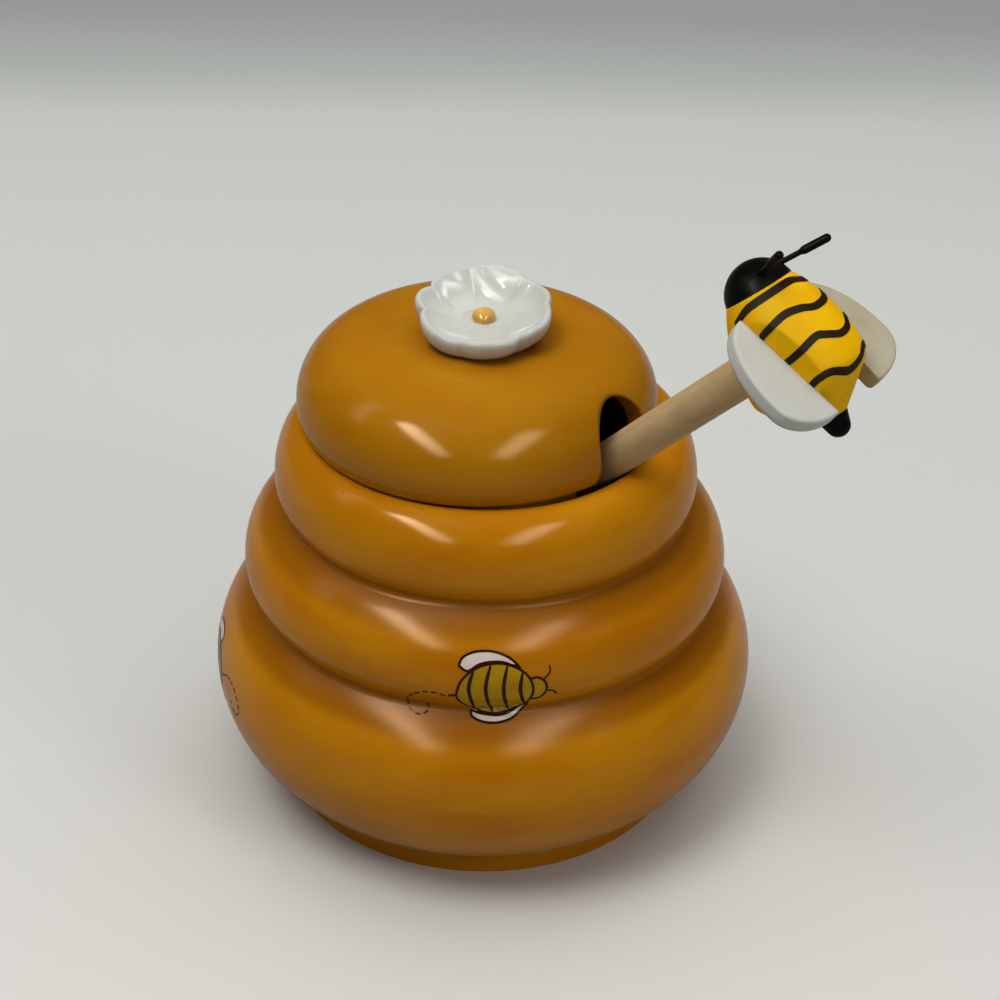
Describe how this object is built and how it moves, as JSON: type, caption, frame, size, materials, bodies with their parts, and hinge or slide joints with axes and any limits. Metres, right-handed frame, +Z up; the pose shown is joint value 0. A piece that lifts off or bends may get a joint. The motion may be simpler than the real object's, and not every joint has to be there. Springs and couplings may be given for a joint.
{
  "type": "honey pot",
  "caption": "Glazed beehive honey pot with a loose notched lid, a flower knob and a wooden dipper topped by a painted bee",
  "frame": {"origin": "centre of the pot's resting plane, under its foot ring", "axes": "+Z up along the pot's axis; +X towards the lid's notch and the leaning dipper; +Y completes the right-handed frame"},
  "size_m": [0.1374, 0.114, 0.1414],
  "materials": {
    "honey_glaze": "gloss",
    "white_glaze": "gloss",
    "yellow_glaze": "gloss",
    "bare_wood": "matte",
    "yellow_paint": "satin paint",
    "black_paint": "satin paint",
    "white_paint": "satin paint"
  },
  "bodies": {
    "pot": {"pot": "honey_glaze"},
    "lid": {"lid": "honey_glaze", "flower_knob": "white_glaze", "flower_centre": "yellow_glaze"},
    "dipper": {"dipper": "bare_wood", "bee_body": "yellow_paint", "bee_head": "black_paint", "stinger": "black_paint", "antenna_left": "black_paint", "antenna_right": "black_paint", "wing_left": "white_paint", "wing_right": "white_paint"}
  },
  "joints": [
    {"name": "lid_lift", "type": "slide", "parent": "pot", "child": "lid", "axis": [0, 0, 1], "range_m": [0, 0.07]},
    {"name": "dipper_twirl", "type": "hinge", "parent": "pot", "child": "dipper", "pos_m": [0.03096, 0, 0.08476], "axis": [0.7009, 0, 0.7133], "continuous": true}
  ]
}
